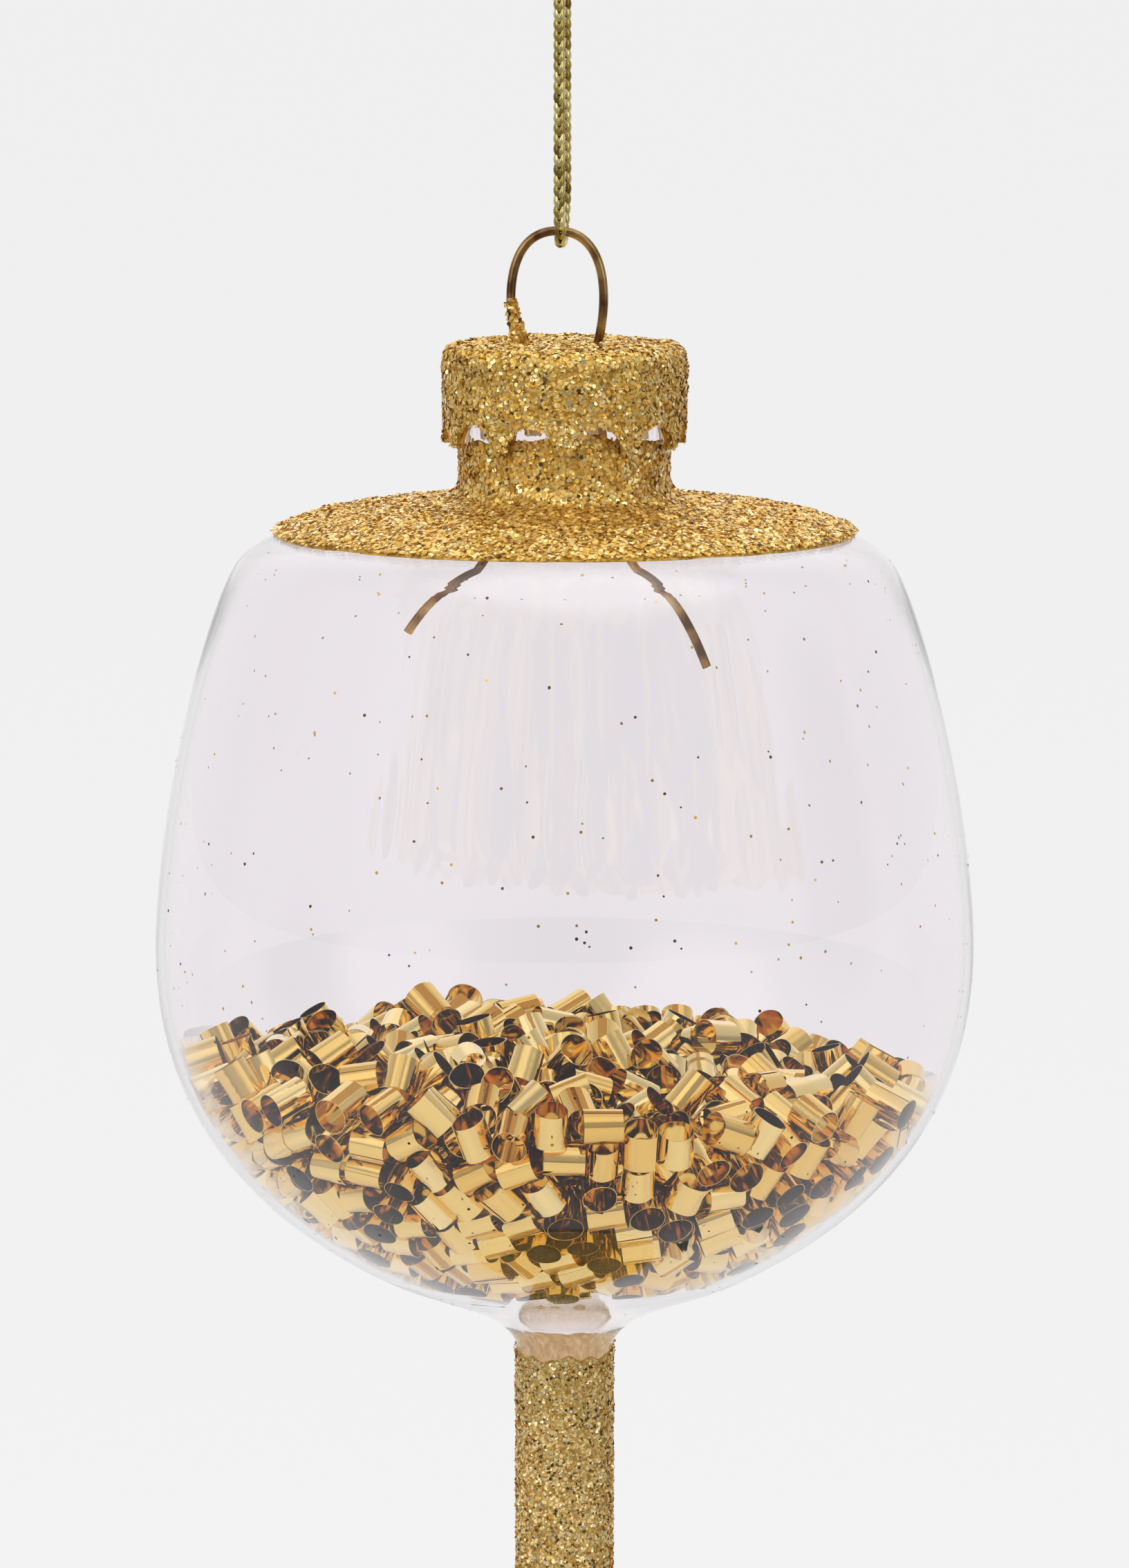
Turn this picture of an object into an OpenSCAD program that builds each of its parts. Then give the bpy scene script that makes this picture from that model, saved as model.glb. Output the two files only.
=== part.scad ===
// Hanging goblet ornament of blown glass: a wine glass with a closed shoulder, filled with
// foil rolls, capped like a bauble and hung from a doubled cord. +Z is up, and the origin
// is the point where a hook carries the cord, just below its knot.

/* [Bowl] */
// Widest diameter of the bowl
bowl_d = 80; // [74:1:88]
// Height from the widest level up to the root of the neck
bowl_rise = 44.5; // [42:0.5:50]
// Depth from the widest level down to the root of the stem
bowl_drop = 42.5; // [40:0.5:48]
// Diameter at which the shoulder turns down into the side
shoulder_d = 63; // [58:0.5:66]
// Drop from the root of the neck to the edge of the shoulder
shoulder_drop = 8; // [7.5:0.1:10]
// Thickness of the blown glass
wall = 0.8; // [0.6:0.1:1.4]

/* [Neck] */
// Outer diameter of the neck
neck_d = 19.7; // [18.6:0.1:20.4]
// Length of the straight neck
neck_h = 11.5; // [10.4:0.1:14]
// Drop of the fillet between neck and shoulder
neck_fillet = 3; // [2:0.1:4]

/* [Stem and foot] */
// Outer diameter of the stem
stem_d = 8.8; // [8:0.1:12]
// Thickness of the stem's wall
stem_wall = 1.4; // [1:0.1:2.4]
// Length of the straight stem
stem_len = 42; // [30:1:60]
// Diameter of the foot
foot_d = 46; // [40:1:60]
// Height of the foot, from its underside to the straight stem
foot_h = 6.5; // [5.5:0.1:10]
// Thickness of the foot at its rim
foot_rim = 1.8; // [1.2:0.1:2.6]

/* [Cap] */
// Outer diameter of the metal cap
cap_d = 22.7; // [22.2:0.1:26]
// Height of the cap, from its lobes to its top
cap_h = 9.3; // [8.4:0.1:10.4]
// Thickness of the cap's metal
cap_wall = 0.4; // [0.3:0.05:0.6]
// Radius of the cap's rounded top edge
cap_round = 1.1; // [0.8:0.1:2.5]
// Number of lobes round the skirt
lobes = 11; // [9:1:13]
// Width of the arch between two lobes, at the skirt's edge
arch_w = 5; // [4:0.1:5.5]
// Height of the arch between two lobes
arch_h = 2.5; // [0.8:0.1:2.8]
// Gap between the top of the neck and the inside of the cap
seat_gap = 0.5; // [0.3:0.1:1]

/* [Hanger wire] */
// Diameter of the spring wire
wire_d = 0.9; // [0.7:0.05:1.1]
// Greatest width of the eye, between centrelines
eye_w = 9; // [8.4:0.1:12]
// Height of the eye's centreline above the cap
eye_h = 11.4; // [9:0.2:16]
// Distance between the wire's two feet
feet_gap = 7.6; // [6.6:0.1:9]
// Height of the left spring leg
left_leg_drop = 27.5; // [24:0.5:30]
// Height of the right spring leg
right_leg_drop = 31; // [26:0.5:33]
// How far each spring leg reaches out from its foot
leg_reach = 10.8; // [8:0.1:11.5]
// Depth at which the spring legs bend outwards
leg_knee = 20; // [16:0.5:21]

/* [Cord] */
// Diameter of the cord
cord_d = 1.2; // [0.9:0.05:1.3]
// Diameter of the knot
knot_d = 4.4; // [3.6:0.1:5.5]
// Length of the two cut ends above the knot
tail_len = 6; // [4:0.5:12]

/* [Glitter] */
// Thickness of the glitter coats
coat = 0.35; // [0.2:0.05:0.5]
// Diameter of the glitter on the shoulder
shoulder_coat_d = 57.8; // [40:0.2:58.4]
// How far the stem's glitter reaches up the funnel
stem_coat_rise = 1.2; // [0.4:0.1:2]

/* [Foil rolls] */
// Outer diameter of one roll
roll_d = 3.5; // [2.6:0.1:4]
// Length of one roll
roll_len = 3.7; // [2.6:0.1:4.2]
// Thickness of a roll's wall
roll_wall = 0.15; // [0.1:0.05:0.3]
// Least free space between two rolls, and between a roll and the glass
roll_gap = 1; // [0.8:0.1:2]
// Depth of the filling's top below the widest level
fill_drop = 9; // [0:0.5:11]

/* [Hidden] */
$fn = 64;

// The eye's wire hangs this far below the hook
eye_z = -24.8;
// Points of the cord's route, from the knot down, under the wire and up again
cord_route = [
  [-0.4, -0.7, 2], [-0.5, -1, 0], [-0.5, -1.2, -3], [-0.5, -1.4, -6], [-0.5, -1.6, -9],
  [-0.5, -1.7, -12], [-0.5, -1.9, -15], [-0.5, -2.1, -18], [-0.5, -2.3, -21],
  [-0.5, -2.4, -23.3], [-0.4, -2.1, -24.7], [-0.4, -1.2, -25.6], [-0.3, 0, -25.9],
  [-0.2, 1.2, -25.6], [-0.1, 2.1, -24.7], [0, 2.4, -23.3], [0.1, 2.3, -21],
  [0.1, 2.1, -18], [0.1, 1.9, -15], [0.1, 1.7, -12], [0.1, 1.6, -9], [0.1, 1.4, -6],
  [0.1, 1.2, -3], [0.1, 1, 0], [0, 0.7, 2]];
cord_sides = 8;
wire_sides = 12;
curve_steps = 12;

// Levels, from the top down
knot_z = 0.4 + knot_d / 2;
cap_top_z = eye_z - eye_h;
cap_low_z = cap_top_z - cap_h;
neck_top_z = cap_top_z - cap_wall - seat_gap;
neck_root_z = neck_top_z - neck_h;
shoulder_z = neck_root_z - shoulder_drop;
belly_z = neck_root_z - bowl_rise;
stem_root_z = belly_z - bowl_drop;
stem_end_z = stem_root_z - stem_len;
foot_z = stem_end_z - foot_h;

// Radii
bowl_r = bowl_d / 2;
shoulder_r = shoulder_d / 2;
neck_r = neck_d / 2;
stem_r = stem_d / 2;
bore_r = stem_r - stem_wall;
foot_r = foot_d / 2;
cap_r = cap_d / 2;
wire_r = wire_d / 2;

// The neck's fillet ends on the shoulder here
fillet_reach = 4.3;
// The bowl's lower curve hands over to the stem's fillet here
funnel_r = 19.3;
funnel_h = 9.1;
funnel_z = stem_root_z + funnel_h;
// How the bowl's outline leaves and meets its corners: each is the way, as [out, up], from
// a corner of the outline to the handle of the curve there
shoulder_start = [7, -0.5];
shoulder_end = [-4.1, 4.1];
side_start = [3.2, -3.4];
side_run = 13.5;
belly_dip = 1.5;
belly_run = 15;
funnel_start = [11.6, 6.1];
funnel_end = [-6.6, -3.6];
funnel_dip = 3.7;

// The eye stands a little off the cap's centre, and its feet stand one behind the other,
// so that the spring legs pass each other when they are squeezed together
eye_x = -0.7;
foot_y = 0.65;
wire_hole_play = 0.1;
// The spring legs bend from just below the cap's top
pivot_z = cap_top_z - cap_wall - 0.4;
eye_end_z = pivot_z + 0.35;
knee_out = 4;
// The neck's glitter reaches this high behind the cap's lobes
coat_start_z = cap_low_z + 0.5;

// One free ball of space around a roll, and the distance between two rolls
roll_ball = sqrt(roll_d * roll_d + roll_len * roll_len) / 2;
roll_pitch = 2 * roll_ball + roll_gap;
fill_top_z = belly_z - fill_drop;

// n points of a cubic curve from a to d, without d itself
function curve(a, b, c, d, n) =
  [for (i = [0 : n - 1]) let (t = i / n, s = 1 - t)
    s * s * s * a + 3 * s * s * t * b + 3 * s * t * t * c + t * t * t * d];

// The same, with the handles given from their own ends of the curve
function spline(a, from_a, from_d, d, n) = curve(a, a + from_a, d + from_d, d, n);

// The outer outline of the bowl, as [radius, height], from the neck's top to the stem
function outer_line() = concat(
  [[neck_r, neck_top_z], [neck_r, coat_start_z]],
  curve([neck_r, neck_root_z], [neck_r, neck_root_z - 0.75 * neck_fillet],
        [neck_r + 0.4 * fillet_reach, neck_root_z - 0.9 * neck_fillet],
        [neck_r + fillet_reach, neck_root_z - neck_fillet], 6),
  spline([neck_r + fillet_reach, neck_root_z - neck_fillet], shoulder_start,
         shoulder_end, [shoulder_r, shoulder_z], curve_steps),
  spline([shoulder_r, shoulder_z], side_start,
         [0, side_run], [bowl_r, belly_z - belly_dip], curve_steps),
  spline([bowl_r, belly_z - belly_dip], [0, -belly_run],
         funnel_start, [funnel_r, funnel_z], curve_steps),
  spline([funnel_r, funnel_z], funnel_end,
         [0, funnel_h - funnel_dip], [stem_r, stem_root_z], 8),
  [[stem_r, stem_root_z]]);

// The outer outline of the foot, from the stem's end to the rim's underside
function foot_line() = concat(
  curve([stem_r, stem_end_z], [stem_r, stem_end_z - 0.55 * foot_h],
        [stem_r + 3, foot_z + foot_rim + 1], [foot_r * 0.5, foot_z + foot_rim + 0.5], 8),
  [[foot_r * 0.5, foot_z + foot_rim + 0.5], [foot_r - 0.5, foot_z + foot_rim],
   [foot_r, foot_z + foot_rim - 0.5], [foot_r, foot_z + 0.3], [foot_r - 0.3, foot_z]]);

// The unit normal of an outline at point i; it points away from the axis or up
function normal_at(line, i) =
  let (a = line[max(i - 1, 0)], b = line[min(i + 1, len(line) - 1)], d = b - a)
  [-d[1], d[0]] / norm(d);

// The thickness of the glass at a height
function wall_at(z) =
  z > funnel_z ? wall
  : wall + (stem_wall - wall) * min(1, (funnel_z - z) / (funnel_z - stem_root_z));

function inner_line() = let (line = outer_line())
  [for (i = [0 : len(line) - 1]) line[i] - wall_at(line[i][1]) * normal_at(line, i)];

function reversed(line) = [for (i = [len(line) - 1 : -1 : 0]) line[i]];

// An outline's points from one height down to another, with both ends put in exactly
function radius_at(line, z) = lookup(z, [for (p = line) [p[1], p[0]]]);
function between(line, z_high, z_low) = concat(
  [[radius_at(line, z_high), z_high]],
  [for (p = line) if (p[1] < z_high - 0.01 && p[1] > z_low + 0.01) p],
  [[radius_at(line, z_low), z_low]]);

// The height at which an outline first reaches a radius, going down
function height_at(line, r, i = 1) =
  line[i][0] >= r
    ? let (a = line[i - 1], b = line[i]) a[1] + (b[1] - a[1]) * (r - a[0]) / (b[0] - a[0])
    : height_at(line, r, i + 1);

// A thin coat on a stretch of an outline
module coat_on(line) {
  rotate_extrude()
    polygon(concat(line, reversed(
      [for (i = [0 : len(line) - 1]) line[i] + coat * normal_at(line, i)])));
}

// A round rod swept along points; side is a direction that no stretch runs along
module rod(points, d, sides, side) {
  n = len(points);
  rings = [for (i = [0 : n - 1])
    let (run = points[min(i + 1, n - 1)] - points[max(i - 1, 0)],
         t = run / norm(run), c = cross(t, side), u = c / norm(c), v = cross(t, u))
    for (k = [0 : sides - 1])
      points[i] + d / 2 * (cos(360 * k / sides) * u + sin(360 * k / sides) * v)];
  walls = [for (i = [0 : n - 2], k = [0 : sides - 1])
    let (a = i * sides + k, b = i * sides + (k + 1) % sides)
    each [[a, a + sides, b], [b, a + sides, b + sides]]];
  polyhedron(
    points = rings,
    faces = concat(walls, [[for (k = [0 : sides - 1]) k]],
                   [[for (k = [sides - 1 : -1 : 0]) (n - 1) * sides + k]]));
}

module cord_loop() {
  color("darkgoldenrod") rod(cord_route, cord_d, cord_sides, [1, 0, 0]);
}

module cord_knot() {
  color("darkgoldenrod") translate([0, 0, knot_z]) sphere(d = knot_d);
}

module cord_tails() {
  color("darkgoldenrod")
    for (side = [-1, 1])
      rod([[0, side * 0.8, knot_z + 0.6], [side * 0.3, side * 1, knot_z + knot_d / 2],
           [side * 0.6, side * 1.4, knot_z + knot_d / 2 + tail_len / 2],
           [side * 0.8, side * 2.1, knot_z + knot_d / 2 + tail_len]],
          cord_d, cord_sides, [1, 0, 0]);
}

// Half of the eye's centreline, from the foot on one side up to the top
function half_eye(side) =
  let (foot = [eye_x + side * feet_gap / 2, cap_top_z],
       bulge = eye_x + side * (0.71 * eye_w - 0.18 * feet_gap),
       line = curve(foot, [bulge, cap_top_z + 0.36 * eye_h],
                    [bulge + side * 0.1, eye_z], [eye_x, eye_z], curve_steps))
  concat([[foot[0], side * foot_y, eye_end_z]],
         [for (i = [0 : len(line) - 1])
           [line[i][0], side * foot_y * pow(1 - i / len(line), 2), line[i][1]]]);

module wire_eye() {
  color("saddlebrown")
    rod(concat(half_eye(-1), [[eye_x, 0, eye_z]], reversed(half_eye(1))),
        wire_d, wire_sides, [0, 1, 0]);
}

// A spring leg: down through the neck to its knee, then out and down to its tip
module spring_leg(side, drop) {
  foot = [eye_x + side * feet_gap / 2, pivot_z];
  tip = [side * leg_reach, -drop];
  knee = [side * knee_out, -leg_knee];
  bend = tip - knee;
  line = concat(
    curve([0, 0], [side * 0.5, -0.4 * leg_knee], [side * 1, -0.75 * leg_knee],
          knee, curve_steps),
    curve(knee, knee + [side * 2.2, -1.2], tip - [0.34 * bend[0], 0.5 * bend[1]],
          tip, curve_steps),
    [tip]);
  color("saddlebrown")
    rod([for (p = line) [foot[0] + p[0], side * foot_y, foot[1] + p[1]]],
        wire_d, wire_sides, [0, 1, 0]);
}

module left_spring_leg() { spring_leg(-1, left_leg_drop); }

module right_spring_leg() { spring_leg(1, right_leg_drop); }

// The cap's section: a skirt, a rounded edge and a flat top, grown outwards by extra
module cap_section(extra) {
  r = cap_r + extra;
  top = cap_top_z + extra;
  bend = cap_round + extra;
  polygon(concat(
    [[0, top]],
    [for (a = [90 : -15 : 0]) [r - bend + bend * cos(a), top - bend + bend * sin(a)]],
    [[r, cap_low_z], [0, cap_low_z]]));
}

// Cuts the arches between the lobes of a cap's skirt
module arches() {
  arch_r = (arch_w * arch_w / 4 + arch_h * arch_h) / (2 * arch_h);
  for (i = [0 : lobes - 1])
    rotate([0, 0, (i + 0.5) * 360 / lobes - 90])
      translate([0, 0, cap_low_z + arch_h - arch_r])
        rotate([0, 90, 0]) translate([0, 0, neck_r]) cylinder(r = arch_r, h = cap_r);
}

module wire_holes(extra) {
  for (side = [-1, 1])
    translate([eye_x + side * feet_gap / 2, side * foot_y, cap_top_z - 1])
      cylinder(r = wire_r + wire_hole_play + extra, h = 2);
}

module cap() {
  color("goldenrod") difference() {
    rotate_extrude() difference() {
      cap_section(0);
      cap_section(-cap_wall);
      translate([0, cap_low_z - 1]) square([cap_r - cap_wall, 2]);
    }
    arches();
    wire_holes(0);
  }
}

module cap_glitter() {
  color("gold") difference() {
    rotate_extrude() difference() {
      cap_section(coat);
      cap_section(0);
    }
    arches();
    wire_holes(coat);
  }
}

// A body of revolution in clear glass, from its half section
module glass(section) {
  color("lavender", 0.35) rotate_extrude() polygon(section);
}

// The stretch of the bowl's shell between two heights. The bowl is one glass, and its
// stretches meet face to face
module shell(z_high, z_low) {
  glass(concat(between(outer_line(), z_high, z_low),
               reversed(between(inner_line(), z_high, z_low))));
}

module glass_neck() { shell(neck_top_z, neck_root_z); }

module glass_shoulder() { shell(neck_root_z, shoulder_z); }

module glass_bowl_upper() { shell(shoulder_z, belly_z); }

module glass_bowl_lower() { shell(belly_z, funnel_z); }

module glass_funnel() { shell(funnel_z, stem_root_z); }

module glass_stem() {
  glass([[bore_r, stem_root_z], [stem_r, stem_root_z], [stem_r, stem_end_z],
         [bore_r, stem_end_z]]);
}

module glass_foot() {
  bore_end_z = foot_z + foot_rim + 1;
  glass(concat(foot_line(), [[0, foot_z], [0, bore_end_z]],
               [[bore_r - 1, bore_end_z], [bore_r, bore_end_z + 1], [bore_r, stem_end_z]]));
}

module shoulder_glitter() {
  line = outer_line();
  color("gold")
    coat_on(between(line, coat_start_z, height_at(line, shoulder_coat_d / 2)));
}

module stem_glitter() {
  color("gold")
    coat_on(concat(between(outer_line(), stem_root_z + stem_coat_rise, stem_root_z),
                   [[stem_r, stem_end_z]]));
}

module foot_glitter() {
  color("gold") coat_on(between(foot_line(), stem_end_z - 0.01, foot_z + foot_rim));
}

// The largest radius for a roll's centre at a height, so that its ball clears the glass
function roll_reach(z) = let (line = inner_line(), ball = roll_ball + roll_gap / 2)
  min([for (a = [-90 : 15 : 60]) radius_at(line, z + ball * sin(a)) - ball * cos(a)]);

function layer_z(layer) = fill_top_z - roll_ball - layer * roll_pitch;

// One layer of rolls: rings of them, each lying its own way
module roll_layer(layer) {
  z = layer_z(layer);
  reach = roll_reach(z);
  for (ring = [0 : floor(reach / roll_pitch)]) {
    r = reach - ring * roll_pitch;
    count = r < roll_pitch / 2 ? 1 : floor(180 / asin(roll_pitch / 2 / r));
    for (i = [0 : count - 1])
      rotate([0, 0, 360 * i / count + 25 * ring + 40 * layer])
        translate([count > 1 ? r : 0, 0, z])
          rotate([0, 37 * i + 53 * ring + 71 * layer, 101 * i])
            difference() {
              cylinder(d = roll_d, h = roll_len, center = true, $fn = 24);
              cylinder(d = roll_d - 2 * roll_wall, h = roll_len + 1, center = true, $fn = 24);
            }
  }
}

module foil_rolls_top() { color("gold") roll_layer(0); }

module foil_rolls_upper() { color("gold") roll_layer(1); }

module foil_rolls_middle() { color("gold") roll_layer(2); }

module foil_rolls_bottom() {
  color("gold") for (layer = [3, 4]) if (roll_reach(layer_z(layer)) > 0) roll_layer(layer);
}

cord_loop();
cord_knot();
cord_tails();
wire_eye();
left_spring_leg();
right_spring_leg();
cap();
cap_glitter();
glass_neck();
glass_shoulder();
glass_bowl_upper();
glass_bowl_lower();
glass_funnel();
glass_stem();
glass_foot();
shoulder_glitter();
stem_glitter();
foot_glitter();
foil_rolls_top();
foil_rolls_upper();
foil_rolls_middle();
foil_rolls_bottom();
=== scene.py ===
"""Looks of a hanging glass goblet ornament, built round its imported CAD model.

Lengths below are in millimetres unless a name ends in _M; make_mesh() turns them into metres.
Heights are in the part's own frame: z = 0 is the point where a hook carries the cord.
"""
import math
from types import SimpleNamespace

import bpy
import numpy as np
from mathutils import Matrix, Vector


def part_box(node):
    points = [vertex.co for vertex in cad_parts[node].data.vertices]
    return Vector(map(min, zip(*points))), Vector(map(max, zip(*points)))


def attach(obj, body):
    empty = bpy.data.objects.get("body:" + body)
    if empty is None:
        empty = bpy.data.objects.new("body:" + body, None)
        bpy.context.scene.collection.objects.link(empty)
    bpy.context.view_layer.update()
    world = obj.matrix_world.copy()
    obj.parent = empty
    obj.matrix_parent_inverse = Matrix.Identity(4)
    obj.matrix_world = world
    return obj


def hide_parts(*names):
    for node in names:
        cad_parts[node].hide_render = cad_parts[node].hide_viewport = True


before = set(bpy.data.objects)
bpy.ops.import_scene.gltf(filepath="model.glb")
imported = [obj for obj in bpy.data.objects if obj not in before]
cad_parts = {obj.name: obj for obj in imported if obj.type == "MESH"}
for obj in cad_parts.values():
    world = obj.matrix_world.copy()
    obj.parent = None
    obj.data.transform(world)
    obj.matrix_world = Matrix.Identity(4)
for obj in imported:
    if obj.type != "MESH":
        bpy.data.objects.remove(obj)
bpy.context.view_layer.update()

MM = 0.001

# ------------------------------ sizes from the frame


def box_mm(node):
    """The lowest and highest corners of a CAD node, in millimetres."""
    low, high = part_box(node)
    return np.array(low) / MM, np.array(high) / MM


NECK_LOW, NECK_HIGH = box_mm("glass_neck")
BOWL_LOW, BOWL_HIGH = box_mm("glass_bowl_upper")
FUNNEL_LOW, FUNNEL_HIGH = box_mm("glass_funnel")
STEM_HIGH = box_mm("glass_stem")[1]
FOOT_LOW, FOOT_HIGH = box_mm("glass_foot")
CAP_LOW, CAP_HIGH = box_mm("cap")

BOWL_R = BOWL_HIGH[0]
NECK_TOP_Z = NECK_HIGH[2]
NECK_ROOT_Z = NECK_LOW[2]
SHOULDER_Z = BOWL_HIGH[2]
BELLY_Z = BOWL_LOW[2]
FUNNEL_Z = FUNNEL_HIGH[2]
STEM_ROOT_Z = FUNNEL_LOW[2]
STEM_END_Z = FOOT_HIGH[2]
STEM_R = STEM_HIGH[0]
FOOT_R = FOOT_HIGH[0]
FOOT_Z = FOOT_LOW[2]
CAP_R = CAP_HIGH[0]
CAP_TOP_Z = CAP_HIGH[2]
CAP_LOW_Z = CAP_LOW[2]

# Sizes that the boxes don't give, as in the CAD model
NECK_R = 9.85
SHOULDER_R = 31.5
NECK_FILLET = 3
FILLET_REACH = 4.3
WALL = 0.8
STEM_WALL = 1.4
FUNNEL_R = 19.3
FOOT_RIM = 1.8
COAT = 0.35
STEM_COAT_RISE = 1.2
CAP_ROUND = 1.1
LOBES = 11
ARCH_W = 5
ARCH_H = 2.5
WIRE_D = 0.9
CORD_D = 1.2
EYE_Z = -24.8
EYE_X = -0.7
EYE_W = 9
FEET_GAP = 7.6
FOOT_Y = 0.65
LEG_KNEE = 20
KNEE_OUT = 4
LEG_REACH = 10.8
LEFT_LEG_DROP = 27.5
RIGHT_LEG_DROP = 31
CAP_WALL = 0.4
KNOT_D = 4.4
ROLL_D = 3.5
ROLL_LEN = 3.7

# Sizes of the picture's own
SHOULDER_THINNING = 0.35  # of the glass, where the shoulder bends
THINNING_REACH = 7
THROAT_RISE = 3.6  # above the stem, where the glass starts to thicken
SHOULDER_COAT_R = 28.1
BACK_RISE = 1.3  # of the stem's coat, over STEM_COAT_RISE
LUMP = 0.06
FINE_LUMP = 0.03
COAT_SINK = 0.02
COAT_BEVEL = 0.5
FILM = 0.045

BORE_R = STEM_R - STEM_WALL
COAT_START_Z = CAP_LOW_Z + 0.5
PIVOT_Z = CAP_TOP_Z - CAP_WALL - 0.4
EYE_END_Z = PIVOT_Z + 0.35
KNOT_Z = 0.4 + KNOT_D / 2

# The cord's route, the same points as in the CAD model
CORD_ROUTE = [
    (-0.4, -0.7, 2), (-0.5, -1, 0), (-0.5, -1.2, -3), (-0.5, -1.4, -6), (-0.5, -1.6, -9),
    (-0.5, -1.7, -12), (-0.5, -1.9, -15), (-0.5, -2.1, -18), (-0.5, -2.3, -21),
    (-0.5, -2.4, -23.3), (-0.4, -2.1, -24.7), (-0.4, -1.2, -25.6), (-0.3, 0, -25.9),
    (-0.2, 1.2, -25.6), (-0.1, 2.1, -24.7), (0, 2.4, -23.3), (0.1, 2.3, -21),
    (0.1, 2.1, -18), (0.1, 1.9, -15), (0.1, 1.7, -12), (0.1, 1.6, -9), (0.1, 1.4, -6),
    (0.1, 1.2, -3), (0.1, 1, 0), (0, 0.7, 2)]

# ------------------------------ camera, light and floor

IMAGE_W = 1633
CAMERA_DISTANCE_M = 1.1
CAMERA_ELEVATION = math.radians(6.8)
CAMERA_TARGET_Z = BELLY_Z + 14.3
MM_PER_PIXEL = 0.0674
BACKGROUND = 0.871
FLOOR_HALF = 30000
FLOOR_DROP = 260
FLOOR_GLOW = 0.9  # the share of the floor's brightness that doesn't come from the lamps
LIT_POINT_M = (0, 0, -0.09)
LAMPS_M = (  # name, place, side and brightness
    ("key", (-1.2, -2.2, 1.5), 1.6, 5.0),
    ("top", (0.2, 0.3, 2.4), 1.4, 4.0))


def add_camera():
    sensor_mm = 36
    data = bpy.data.cameras.new("camera")
    data.sensor_fit = "HORIZONTAL"
    data.sensor_width = sensor_mm
    data.lens = sensor_mm * CAMERA_DISTANCE_M / (MM_PER_PIXEL * MM * IMAGE_W)
    data.clip_start = 0.01
    camera = bpy.data.objects.new("camera", data)
    bpy.context.scene.collection.objects.link(camera)
    target = Vector((0, 0, CAMERA_TARGET_Z * MM))
    back = Vector((0, -math.cos(CAMERA_ELEVATION), math.sin(CAMERA_ELEVATION)))
    camera.location = target + back * CAMERA_DISTANCE_M
    camera.rotation_euler = back.to_track_quat("Z", "Y").to_euler()
    bpy.context.scene.camera = camera


def add_light(name, place, size, strength):
    """A square softbox, sized in metres. strength is its brightness, as a multiple of white."""
    data = bpy.data.lights.new(name, "AREA")
    data.shape = "SQUARE"
    data.size = size
    data.energy = strength * math.pi * size * size
    lamp = bpy.data.objects.new(name, data)
    bpy.context.scene.collection.objects.link(lamp)
    lamp.location = place
    away = Vector(place) - Vector(LIT_POINT_M)
    lamp.rotation_euler = away.to_track_quat("Z", "Y").to_euler()
    lamp.visible_glossy = False
    lamp.visible_transmission = False


class Nodes:
    """A material's or world's node tree, with short calls to add and link nodes."""

    def __init__(self, tree, output="ShaderNodeOutputMaterial"):
        self.tree = tree
        tree.nodes.clear()
        self.output = tree.nodes.new(output)

    def add(self, kind, **inputs):
        node = self.tree.nodes.new(kind)
        for name, value in inputs.items():
            self.put(node, name.replace("_", " "), value)
        return node

    def put(self, node, name, value):
        socket = node.inputs[int(name)] if name.strip().isdigit() else node.inputs[name]
        if isinstance(value, bpy.types.NodeSocket):
            self.tree.links.new(value, socket)
        else:
            socket.default_value = value

    def math(self, operation, a, b=0.0):
        node = self.tree.nodes.new("ShaderNodeMath")
        node.operation = operation
        self.put(node, "0", a)
        self.put(node, "1", b)
        return node.outputs[0]

    def noise(self, scale, detail=2.0, rough=0.5, vector=None, output="Fac"):
        node = self.add("ShaderNodeTexNoise", Scale=scale, Detail=detail, Roughness=rough)
        self.put(node, "Vector", vector or self.place())
        return node.outputs[output]

    def cells(self, scale, output, vector=None):
        node = self.add("ShaderNodeTexVoronoi", Scale=scale)
        self.put(node, "Vector", vector or self.place())
        return node.outputs[output]

    def place(self):
        return self.add("ShaderNodeTexCoord").outputs["Object"]

    def ramp(self, fac, *stops):
        """A colour ramp through (position, colour) stops."""
        node = self.add("ShaderNodeValToRGB", Fac=fac)
        ramp = node.color_ramp
        while len(ramp.elements) < len(stops):
            ramp.elements.new(0.5)
        for element, (at, colour) in zip(ramp.elements, stops):
            element.position = at
            element.color = (*colour, 1)
        return node.outputs["Color"]

    def mix(self, fac, a, b):
        """A mix of two colours. The node's sockets 6 and 7 and its output 2 are its colours."""
        node = self.tree.nodes.new("ShaderNodeMix")
        node.data_type = "RGBA"
        for name, value in (("0", fac), ("6", a), ("7", b)):
            if isinstance(value, tuple):
                value = (*value, 1)
            self.put(node, name, value)
        return node.outputs[2]

    def bump(self, height, distance_mm, strength=1.0):
        node = self.add("ShaderNodeBump", Height=height, Strength=strength,
                        Distance=distance_mm * MM)
        return node.outputs["Normal"]

    def blend(self, fac, a, b):
        """A mix of two shaders."""
        node = self.add("ShaderNodeMixShader", Fac=fac)
        self.put(node, "1", a.outputs[0])
        self.put(node, "2", b.outputs[0])
        return node

    def surface(self, shader):
        """Sends a shader to the output."""
        self.put(self.output, "Surface", shader.outputs[0])


def sees_background(nodes):
    """1 for rays that look straight at the surroundings, through glass or not."""
    path = nodes.add("ShaderNodeLightPath")
    straight = nodes.math(
        "SUBTRACT", 1.0, nodes.math("MINIMUM", path.outputs["Diffuse Depth"], 1.0))
    unmirrored = nodes.math(
        "SUBTRACT", 1.0, nodes.math("MINIMUM", path.outputs["Glossy Depth"], 1.0))
    return nodes.math("MULTIPLY", straight, unmirrored)


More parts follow.
